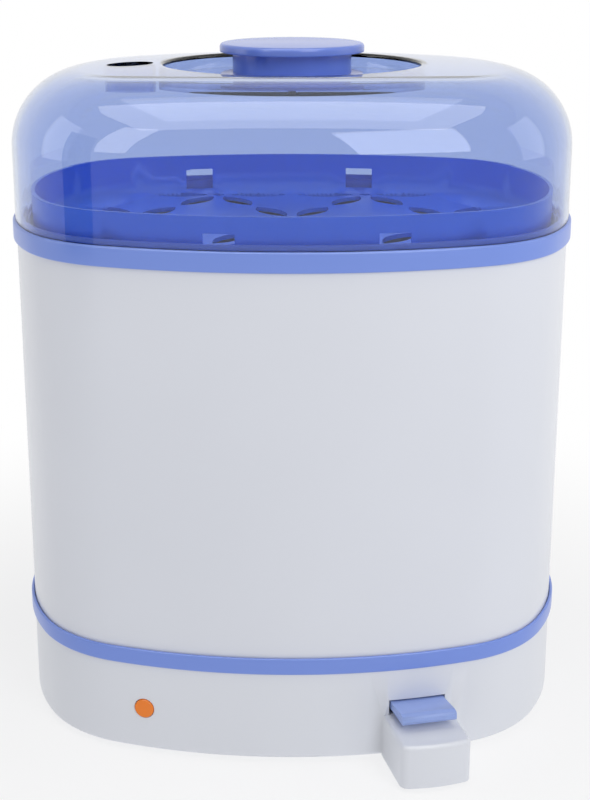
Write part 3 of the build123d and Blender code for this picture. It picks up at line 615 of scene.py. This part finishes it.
def oval_sweep(profile: np.ndarray) -> np.ndarray:
    """Carry a profile round the oval plan.

    Each profile point is an inset and a height, and its row is the outline moved inwards along its normals
    by the inset, at that height.

    Args:
        profile: array of shape (rows, 2).

    Returns:
        Points of shape (rows, columns, 3).
    """
    points, normals = OUTLINE.ring()
    plan = points[None] - profile[:, 0, None, None] * normals[None]
    height = np.broadcast_to(profile[:, 1, None, None], (*plan.shape[:2], 1))
    return np.concatenate([plan, height], axis=2)


def round_sweep(profile: np.ndarray, bearing: np.ndarray) -> np.ndarray:
    """Turn a profile about the upright axis through the oval's centre.

    A point is (radius x cos, radius x sin, height) of its column's bearing.

    Args:
        profile: array of shape (rows, 2), each a radius and a height.
        bearing: the columns' bearings, in radians.

    Returns:
        Points of shape (rows, columns, 3).
    """
    x = profile[:, :1] * np.cos(bearing)
    y = profile[:, :1] * np.sin(bearing)
    return np.stack([x, y, np.broadcast_to(profile[:, 1:], x.shape)], axis=2)


@dataclass
class Knob:
    """Blue knob in the lid's dish: a flange, a hollow neck and a cap with a foot for the screw.

    Heights are over the dish's floor.
    """

    floor: float
    flange_bore: float = 0.0053
    flange_radius: float = 0.0355
    flange_top: float = 0.0023
    flange_edge: float = 0.0009
    neck_inside: float = 0.0268
    neck_outside: float = 0.0293
    neck_top: float = 0.0126
    cap_radius: float = 0.0356
    cap_top: float = 0.0168
    cap_edge: float = 0.0018
    cap_under_edge: float = 0.0005
    foot_radius: float = 0.005
    screw_bore: float = 0.00205
    screw_depth: float = 0.009
    lower_edge: float = 0.0003
    bore_edge: float = 0.0002
    columns: int = 128

    def profiles(self) -> dict[str, list[tuple[float, float, float]]]:
        """Give each piece's closed profile.

        Returns:
            For each node, its corners as radius, height and corner radius.
        """
        floor = self.floor
        flange_top, neck_top, cap_top = floor + self.flange_top, floor + self.neck_top, floor + self.cap_top
        screw_end = floor + self.screw_depth
        flange = [
            (self.flange_bore, floor, 0),
            (self.flange_radius, floor, self.lower_edge),
            (self.flange_radius, flange_top, self.flange_edge),
            (self.flange_bore, flange_top, self.bore_edge),
        ]
        neck = [
            (self.neck_inside, flange_top, 0),
            (self.neck_outside, flange_top, 0),
            (self.neck_outside, neck_top, 0),
            (self.neck_inside, neck_top, 0),
        ]
        cap = [
            (self.screw_bore, floor, 0),
            (self.foot_radius, floor, 0),
            (self.foot_radius, neck_top, 0),
            (self.cap_radius, neck_top, self.cap_under_edge),
            (self.cap_radius, cap_top, self.cap_edge),
            (0.0, cap_top, 0),
            (0.0, screw_end, 0),
            (self.screw_bore, screw_end, 0),
        ]
        return {"knob_flange": flange, "knob_neck": neck, "knob_cap": cap}

    def build(self) -> None:
        """Turn the three pieces."""
        bearing = np.linspace(0, 2 * math.pi, self.columns, endpoint=False)
        for node, corners in self.profiles().items():
            work = Patchwork()
            work.grid(round_sweep(rounded(corners), bearing))
            work.build(f"{node}_turned", MID_BLUE, "lid", node)


@dataclass
class Lid:
    """Clear domed lid with its dish and vent, and the knob that stands in the dish."""

    rim: float = 0.2565
    top: float = 0.331
    inset: float = 0.0013
    wall: float = 0.0022
    shoulder: float = 0.037
    crown_radius: float = 2.0
    dish_radius: float = 0.0635
    dish_floor: float = 0.323
    dish_edge: float = 0.0012
    vent_x: float = -0.080
    vent_radius: float = 0.0115
    vent_wall: float = 0.0012
    vent_bottom: float = 0.3185
    vent_gate: float = 13.5
    screw_hole: float = 0.0023
    foot_ring: float = 0.001
    wall_rows: int = 6
    arc_rows: int = 28
    crown_rows: int = 16
    vent_rows: int = 5
    lip_rows: int = 6
    drop_rows: int = 3
    floor_rows: int = 5

    def crown(self, x: np.ndarray, y: np.ndarray, drop: float) -> np.ndarray:
        """Height of the crown: a sphere about a point far below, its radius less the drop.

        Args:
            x: plan coordinates.
            y: plan coordinates.
            drop: how far below the outer skin.

        Returns:
            Heights of the same shape.
        """
        radius = self.crown_radius - drop
        return self.top - self.crown_radius + np.sqrt(radius**2 - x**2 - y**2)

    def side(self, drop: float) -> np.ndarray:
        """Lay one skin from the rim up the wall and over the shoulder.

        The shoulder is an arc in each column's upright plane, about a point that lies under the crown by the
        shoulder's radius. It starts level and ends where it is tangent to the crown, which is short of a
        quarter turn by the crown's tilt there. The wall runs straight down from it.

        Args:
            drop: how far the skin lies inside the outer one.

        Returns:
            Points of shape (rows, columns, 3).
        """
        points, normals = OUTLINE.ring()
        reach = self.shoulder - drop
        centre = points - (self.inset + self.shoulder) * normals
        centre_z = self.crown(centre[:, 0], centre[:, 1], self.shoulder)
        tilt = np.linalg.norm(centre, axis=1) / (self.crown_radius - self.shoulder)
        angle = np.linspace(0, 1, self.arc_rows + 1)[:, None] * (math.pi / 2 - tilt)
        plan = centre + reach * np.cos(angle)[..., None] * normals
        arc = np.concatenate([plan, (centre_z + reach * np.sin(angle))[..., None]], axis=2)
        climb = np.linspace(0, 1, self.wall_rows)[:, None] * (centre_z - self.rim)
        upright = arc[:1, :, :2].repeat(self.wall_rows, axis=0)
        wall = np.concatenate([upright, (self.rim + climb)[..., None]], axis=2)
        return np.concatenate([wall[:-1], arc])

    def span(self, outer: np.ndarray, inner: np.ndarray, rows: int, drop: float) -> np.ndarray:
        """Lay rows on the crown from one loop to another: outer x (1 - share) + inner x share in plan.

        Args:
            outer: the first loop, of shape (columns, 3), whose heights stay.
            inner: the last loop's plan, of shape (columns, 2).
            rows: spans between them.
            drop: how far the skin lies inside the outer one.

        Returns:
            Points of shape (rows + 1, columns, 3).
        """
        share = np.linspace(0, 1, rows + 1)[:, None, None]
        plan = outer[:, :2] * (1 - share) + inner * share
        height = self.crown(plan[..., 0], plan[..., 1], drop)
        height[0] = outer[:, 2]
        return np.concatenate([plan, height[..., None]], axis=2)

    def skin(self, work: Patchwork, drop: float, dish: float, vent: float) -> tuple[np.ndarray, np.ndarray]:
        """Add one skin of the dome: its wall, shoulder and crown, with the holes for dish and vent.

        The crown's columns near the vent are left out but for their first row, and a collar of columns that
        run straight to the vent's circle fills that gate.

        Args:
            work: where the patches go.
            drop: how far the skin lies inside the outer one.
            dish: radius of the dish's hole in this skin.
            vent: radius of the vent's hole in this skin.

        Returns:
            The loop round the dish and the loop round the vent.
        """
        side = self.side(drop)
        work.grid(side)
        edge = side[-1]
        bearing = np.arctan2(edge[:, 1], edge[:, 0])
        hole = dish * np.stack([np.cos(bearing), np.sin(bearing)], axis=1)
        crown = self.span(edge, hole, self.crown_rows, drop)
        middle = int(np.argmin(crown[-1, :, 0]))
        near_vent = np.abs(np.pi - np.abs(bearing)) < math.radians(self.vent_gate)
        half = int(np.sum(near_vent) // 2)
        keep = np.ones((self.crown_rows, len(edge)), bool)
        keep[1:, middle - half : middle + half] = False
        work.grid(crown, keep)
        block = crown[1:, middle - half : middle + half + 1]
        loop = np.concatenate([block[0], block[1:, -1], block[-1, -2::-1], block[-2:0:-1, 0]])
        turn = np.arctan2(loop[:, 1], loop[:, 0] - self.vent_x)
        circle = np.stack([self.vent_x + vent * np.cos(turn), vent * np.sin(turn)], axis=1)
        collar = self.span(loop, circle, self.vent_rows, drop)
        work.grid(collar)
        return crown[-1], collar[-1]

    def bowl(self, hole: np.ndarray, bearing: np.ndarray) -> np.ndarray:
        """Lay the dish's upper side, from the crown over a rounded lip and down to the screw's hole.

        The lip is a quarter circle: radius = hole - edge x sin, height = top - edge x (1 - cos).

        Args:
            hole: the loop of the outer skin's hole.
            bearing: the columns' bearings.

        Returns:
            Points of shape (rows, columns, 3).
        """
        turn = np.linspace(0, math.pi / 2, self.lip_rows)
        lip = self.dish_radius + self.dish_edge - self.dish_edge * np.sin(turn)
        lip_height = float(hole[:, 2].mean()) - self.dish_edge * (1 - np.cos(turn))
        drop = np.linspace(lip_height[-1], self.dish_floor, self.drop_rows + 1)[1:]
        floor = np.linspace(self.dish_radius - self.foot_ring, self.screw_hole, self.floor_rows)
        radius = np.concatenate([lip, np.full(self.drop_rows, self.dish_radius), floor])
        height = np.concatenate([lip_height, drop, np.full(self.floor_rows, self.dish_floor)])
        rows = round_sweep(np.stack([radius, height], axis=1), bearing)
        rows[0] = hole
        return rows

    def underside(self, hole: np.ndarray, bearing: np.ndarray) -> np.ndarray:
        """Lay the dish's lower side, from the screw's hole outwards and straight up to the inner skin.

        Args:
            hole: the loop of the inner skin's hole.
            bearing: the columns' bearings.

        Returns:
            Points of shape (rows, columns, 3).
        """
        under = self.dish_radius + self.wall
        floor = np.linspace(self.screw_hole, under - self.foot_ring, self.floor_rows)
        radius = np.concatenate([[self.screw_hole], floor, [under, under]])
        below = np.full(self.floor_rows + 1, self.dish_floor - self.wall)
        height = np.concatenate([[self.dish_floor], below, [self.top]])
        rows = round_sweep(np.stack([radius, height], axis=1), bearing)
        rows[-1] = hole
        return rows

    def build_shell(self) -> None:
        """Build the clear shell as one closed skin, outside and inside."""
        work = Patchwork()
        dish_out, vent_out = self.skin(work, 0.0, self.dish_radius + self.dish_edge, self.vent_radius)
        dish_hole, vent_hole = self.dish_radius + self.wall, self.vent_radius + self.vent_wall
        dish_in, vent_in = self.skin(work, self.wall, dish_hole, vent_hole)
        work.grid(oval_sweep(np.array([[self.inset, self.rim], [self.inset + self.wall, self.rim]])))
        bearing = np.arctan2(dish_out[:, 1], dish_out[:, 0])
        work.grid(self.bowl(dish_out, bearing))
        work.grid(self.underside(dish_in, bearing))
        low_out, low_in = vent_out.copy(), vent_in.copy()
        low_out[:, 2] = low_in[:, 2] = self.vent_bottom
        work.grid(np.stack([vent_out, low_out]))
        work.grid(np.stack([vent_in, low_in]))
        work.grid(np.stack([low_out, low_in]))
        work.build("lid_dome", CLEAR_LID, "lid", "lid_shell")

    def build(self) -> None:
        """Build the lid with its knob, and dress the small pieces under it."""
        self.build_shell()
        Knob(self.dish_floor).build()
        refined("knob_washer", STEEL, "lid")
        refined("knob_screw", STEEL, "lid")


@dataclass
class Housing:
    """Frosted sleeve between its two trim rings.

    A name with inset is a distance inwards from the oval's outline, and the other sizes are heights, apart
    from the corner radii at the end.
    """

    lower_bottom: float = 0.0487
    lower_top: float = 0.0573
    sleeve_bottom: float = 0.0512
    sleeve_top: float = 0.2540
    upper_bottom: float = 0.2468
    upper_top: float = 0.2565
    skirt_bottom: float = 0.0460
    lower_tongue_top: float = 0.0582
    upper_tongue_bottom: float = 0.2481
    ledge_top: float = 0.2503
    lip_top: float = 0.2590
    sleeve_outer_inset: float = 0.0018
    sleeve_inner_inset: float = 0.0043
    groove_inset: float = 0.0015
    tongue_inset: float = 0.0046
    tongue_back_inset: float = 0.0066
    skirt_inset: float = 0.009
    skirt_back_inset: float = 0.011
    ledge_inset: float = 0.013
    lip_inset: float = 0.0039
    lip_back_inset: float = 0.0055
    edge: float = 0.0012
    inner_edge: float = 0.0008
    lip_edge: float = 0.0004
    fine_edge: float = 0.0003
    finest_edge: float = 0.0002

    def sleeve(self) -> list[tuple[float, float, float]]:
        """Give the sleeve's profile.

        Returns:
            Its corners as inset, height and corner radius.
        """
        return [
            (self.sleeve_outer_inset, self.sleeve_bottom, 0),
            (self.sleeve_inner_inset, self.sleeve_bottom, 0),
            (self.sleeve_inner_inset, self.sleeve_top, 0),
            (self.sleeve_outer_inset, self.sleeve_top, 0),
        ]

    def lower_ring(self) -> list[tuple[float, float, float]]:
        """Give the lower ring's profile: a band, a groove for the sleeve, a tongue and a skirt.

        Returns:
            Its corners as inset, height and corner radius.
        """
        return [
            (0.0, self.lower_bottom, self.edge),
            (self.skirt_inset, self.lower_bottom, 0),
            (self.skirt_inset, self.skirt_bottom, self.fine_edge),
            (self.skirt_back_inset, self.skirt_bottom, self.fine_edge),
            (self.skirt_back_inset, self.sleeve_bottom, self.fine_edge),
            (self.tongue_back_inset, self.sleeve_bottom, 0),
            (self.tongue_back_inset, self.lower_tongue_top, self.fine_edge),
            (self.tongue_inset, self.lower_tongue_top, self.fine_edge),
            (self.tongue_inset, self.sleeve_bottom, 0),
            (self.groove_inset, self.sleeve_bottom, 0),
            (self.groove_inset, self.lower_top, self.lip_edge),
            (0.0, self.lower_top, self.inner_edge),
        ]

    def upper_ring(self) -> list[tuple[float, float, float]]:
        """Give the upper ring's profile: a band, a groove for the sleeve, a ledge and the lid's lip.

        Returns:
            Its corners as inset, height and corner radius.
        """
        return [
            (0.0, self.upper_bottom, self.inner_edge),
            (self.groove_inset, self.upper_bottom, self.lip_edge),
            (self.groove_inset, self.sleeve_top, 0),
            (self.tongue_inset, self.sleeve_top, 0),
            (self.tongue_inset, self.upper_tongue_bottom, self.fine_edge),
            (self.ledge_inset, self.upper_tongue_bottom, self.fine_edge),
            (self.ledge_inset, self.ledge_top, self.fine_edge),
            (self.tongue_back_inset, self.ledge_top, 0),
            (self.tongue_back_inset, self.upper_top, self.finest_edge),
            (self.lip_back_inset, self.upper_top, 0),
            (self.lip_back_inset, self.lip_top, self.lip_edge),
            (self.lip_inset, self.lip_top, self.lip_edge),
            (self.lip_inset, self.upper_top, 0),
            (0.0, self.upper_top, self.edge),
        ]

    def build(self) -> None:
        """Build the sleeve and the rings from their closed profiles."""
        rows = (
            ("sleeve_skin", self.sleeve(), FROSTED, "body_sleeve"),
            ("lower_ring_moulding", self.lower_ring(), PALE_BLUE, "lower_trim_ring"),
            ("upper_ring_moulding", self.upper_ring(), PALE_BLUE, "upper_trim_ring"),
        )
        for name, corners, finish, node in rows:
            work = Patchwork()
            work.grid(oval_sweep(rounded(corners)))
            work.build(name, finish, "sleeve", node)


@dataclass
class Inside:
    """Bottle rack with a collar for each bottle, and small-parts tray."""

    rows: tuple[str, ...] = ("front", "back")
    places: tuple[str, ...] = ("left", "middle", "right")

    def build(self) -> None:
        """Dress the rack and the tray."""
        refined("bottle_rack", WHITE, "rack")
        refined("rack_legs", WHITE, "rack")
        refined("rack_handle", WHITE, "rack")
        for row in self.rows:
            for place in self.places:
                refined(f"bottle_collar_{row}_{place}", WHITE, "rack")
        refined("small_parts_tray", DEEP_BLUE, "tray")


@dataclass
class Base:
    """Base housing with what it holds: plate, thermostat, switch, lamp and cord inlet."""

    spring_top: float = 0.030
    spring_length: float = 0.009
    plunger_travel: float = 0.0059

    def build(self) -> None:
        """Dress every piece of the base, and let the spring shorten as the plunger rises."""
        finishes = {
            "base_housing": WHITE,
            "base_deck": WHITE,
            "bottom_cover": WHITE,
            "rubber_feet": FOOT_RUBBER,
            "cover_screws": STEEL,
            "plate_gasket": SILICONE,
            "heating_plate": PLATE,
            "plate_screws": STEEL,
            "heater_element": CAST,
            "thermal_fuse": BRASS,
            "fuse_clip": STEEL,
            "thermostat_cup": CAST,
            "ferrite_disc": FERRITE,
            "lever_pin": STEEL,
            "micro_switch": BLACK,
            "indicator_lens": ORANGE_LENS,
            "lamp_holder": BLACK,
            "indicator_lamp": LAMP_GLASS,
            "cord_gland": WHITE,
            "terminal_block": NYLON,
        }
        for node, finish in finishes.items():
            refined(node, finish, "base")
        # The lever takes the lighter, lit copy of the pale blue plastic, painted light on its top.
        refined("switch_lever", LIT_PALE_BLUE, "lever")
        refined("lever_arm", STEEL, "lever")
        refined("thermostat_plunger", STEEL, "plunger")
        spring = refined("plunger_spring", STEEL, "base")
        top = (0, SETBACK, self.spring_top)
        pressed = 1 - self.plunger_travel / self.spring_length
        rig.squash(spring, "plunger_slide", axis=(0, 0, 1), anchor=top, keep=pressed)


@dataclass(frozen=True)
class Panel:
    """A rectangular studio light, even over its face and hidden from the camera."""

    name: str
    place: tuple[float, float, float]
    aim: tuple[float, float, float]
    size: tuple[float, float]
    radiance: float
    gloss_only: bool = False

    def hang(self) -> None:
        """Hang the light about the oval's centre, its power that which gives its radiance."""
        data = bpy.data.lights.new(self.name, "AREA")
        data.shape = "RECTANGLE"
        data.size, data.size_y = self.size
        data.energy = self.radiance * math.pi * self.size[0] * self.size[1]
        lamp = bpy.data.objects.new(self.name, data)
        lamp.location = Vector(self.place) + Vector((0, SETBACK, 0))
        lamp.rotation_euler = (Vector(self.aim) - Vector(self.place)).to_track_quat("-Z", "Y").to_euler()
        lamp.visible_camera = False
        lamp.visible_transmission = not self.gloss_only
        lamp.visible_diffuse = not self.gloss_only
        bpy.context.scene.collection.objects.link(lamp)


@dataclass(frozen=True)
class Flag:
    """An upright black card that darkens one side of the object, hidden from the camera."""

    name: str
    near: tuple[float, float]
    far: tuple[float, float]
    top: float
    shade: float = 0.01

    def stand(self) -> None:
        """Stand the card on the floor between two points of the plan about the oval's centre."""
        mesh = bpy.data.meshes.new(self.name)
        low = [(x, y + SETBACK, 0.0) for x, y in (self.near, self.far)]
        high = [(x, y, self.top) for x, y, _ in reversed(low)]
        mesh.from_pydata(low + high, [], [(0, 1, 2, 3)])
        card = bpy.data.objects.new(self.name, mesh)
        card.visible_camera = False
        card.visible_transmission = False
        bpy.context.scene.collection.objects.link(card)
        material = bpy.data.materials.new(self.name)
        material.use_nodes = True
        shader = material.node_tree.nodes["Principled BSDF"]
        shader.inputs["Base Color"].default_value = (self.shade, self.shade, self.shade, 1.0)
        shader.inputs["Specular IOR Level"].default_value = 0.0
        mesh.materials.append(material)
        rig.stage(card)


@dataclass
class Studio:
    """Camera, lights, world and floor."""

    distance: float = 0.8056
    height: float = 0.404
    pitch: float = 17.13
    focal_pixels: float = 1603.7
    frame_pixels: int = 800
    shift_pixels: float = 3.0
    sensor: float = 36.0
    fill: float = 0.42
    floor_side: float = 6.0
    floor_colour: tuple[float, float, float] = (243, 243, 244)
    floor_roughness: float = 0.9
    floor_glow: tuple[float, float] = (0.7, 1.0)
    glow_reach: tuple[float, float] = (0.15, 0.5)
    panels: tuple[Panel, ...] = (
        Panel("overhead", (0.0, -0.2, 1.5), (0, 0, 0.2), (1.2, 0.9), 1.2),
        Panel("key_right", (0.75, -1.35, 1.1), (0, 0, 0.2), (0.85, 0.95), 3.4),
        Panel("left_strip", (-1.0, -1.05, 1.0), (0, 0, 0.25), (0.25, 0.9), 4.0, True),
        Panel("left_side", (-1.5, -0.1, 0.7), (0, 0, 0.2), (0.8, 1.1), 1.1),
        Panel("right_side", (1.6, 0.0, 0.7), (0, 0, 0.2), (0.8, 1.1), 0.9),
        Panel("shoulder_band", (0.0, -0.5, 1.6), (0, -0.1, 0.3), (1.9, 1.1), 3.0, True),
    )
    flags: tuple[Flag, ...] = (Flag("left_flag", (-0.95, -0.8), (-1.15, -0.3), 0.9),)

    def camera(self) -> None:
        """Place the camera at the photograph's viewing angle."""
        data = bpy.data.cameras.new("studio_camera")
        data.sensor_fit = "VERTICAL"
        data.sensor_height = self.sensor
        data.lens = self.focal_pixels * self.sensor / self.frame_pixels
        data.shift_x = self.shift_pixels / self.frame_pixels
        camera = bpy.data.objects.new("studio_camera", data)
        camera.location = (0, SETBACK - self.distance, self.height)
        camera.rotation_euler = (math.radians(90 - self.pitch), 0, 0)
        bpy.context.scene.collection.objects.link(camera)
        bpy.context.scene.camera = camera

    def world(self) -> None:
        """White for the camera, for glossy and for transmitted rays, soft grey for the rest."""
        world = bpy.data.worlds.new("studio")
        world.use_nodes = True
        bpy.context.scene.world = world
        tree = world.node_tree
        back = tree.nodes["Background"]
        back.inputs["Color"].default_value = (1, 1, 1, 1)
        path = tree.nodes.new("ShaderNodeLightPath")
        straight = tree.nodes.new("ShaderNodeMath")
        straight.operation = "MAXIMUM"
        white = tree.nodes.new("ShaderNodeMath")
        white.operation = "MAXIMUM"
        spread = tree.nodes.new("ShaderNodeMapRange")
        spread.inputs["To Min"].default_value = self.fill
        spread.inputs["To Max"].default_value = 1.0
        tree.links.new(path.outputs["Is Camera Ray"], straight.inputs[0])
        tree.links.new(path.outputs["Is Transmission Ray"], straight.inputs[1])
        tree.links.new(straight.outputs["Value"], white.inputs[0])
        tree.links.new(path.outputs["Is Glossy Ray"], white.inputs[1])
        tree.links.new(white.outputs["Value"], spread.inputs["Value"])
        tree.links.new(spread.outputs["Result"], back.inputs["Strength"])

    def floor(self) -> None:
        """A pale floor whose far part is as white as the world, and which keeps the object's shadow."""
        side = self.floor_side
        mesh = bpy.data.meshes.new("studio_floor")
        corners = [(-side, -side, 0), (side, -side, 0), (side, side, 0), (-side, side, 0)]
        mesh.from_pydata(corners, [], [(0, 1, 2, 3)])
        floor = bpy.data.objects.new("studio_floor", mesh)
        bpy.context.scene.collection.objects.link(floor)
        material = bpy.data.materials.new("studio_floor")
        material.use_nodes = True
        self.wire_floor(material.node_tree)
        mesh.materials.append(material)
        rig.stage(floor)

    def wire_floor(self, tree: bpy.types.NodeTree) -> None:
        """Mix the floor's plain shader with a white glow that grows with the distance from the origin.

        Args:
            tree: the nodes of the floor's material.
        """
        shader = tree.nodes["Principled BSDF"]
        shader.inputs["Base Color"].default_value = linear(self.floor_colour)
        shader.inputs["Roughness"].default_value = self.floor_roughness
        shader.inputs["Specular IOR Level"].default_value = 0.0
        glow = tree.nodes.new("ShaderNodeEmission")
        glow.inputs["Strength"].default_value = 1.0
        mix = tree.nodes.new("ShaderNodeMixShader")
        place = tree.nodes.new("ShaderNodeTexCoord")
        reach = tree.nodes.new("ShaderNodeVectorMath")
        reach.operation = "LENGTH"
        fade = tree.nodes.new("ShaderNodeMapRange")
        fade.interpolation_type = "SMOOTHSTEP"
        fade.inputs["From Min"].default_value = self.glow_reach[0]
        fade.inputs["From Max"].default_value = self.glow_reach[1]
        fade.inputs["To Min"].default_value = self.floor_glow[0]
        fade.inputs["To Max"].default_value = self.floor_glow[1]
        tree.links.new(place.outputs["Object"], reach.inputs[0])
        tree.links.new(reach.outputs["Value"], fade.inputs["Value"])
        tree.links.new(fade.outputs["Result"], mix.inputs["Fac"])
        tree.links.new(shader.outputs["BSDF"], mix.inputs[1])
        tree.links.new(glow.outputs["Emission"], mix.inputs[2])
        tree.links.new(mix.outputs["Shader"], tree.nodes["Material Output"].inputs["Surface"])

    def build(self) -> None:
        """Set up the studio."""
        self.camera()
        self.world()
        self.floor()
        for panel in self.panels:
            panel.hang()
        for flag in self.flags:
            flag.stand()
        bpy.context.scene.view_settings.view_transform = "Standard"


def main() -> None:
    """Build the sterilizer and the studio round it."""
    logging.basicConfig(level=logging.INFO, format="%(message)s")
    for part in (Base(), Housing(), Inside(), Lid(), Studio()):
        LOG.info("building %s", type(part).__name__)
        part.build()


if __name__ == "__main__":
    main()
    write_size(stage="scene")
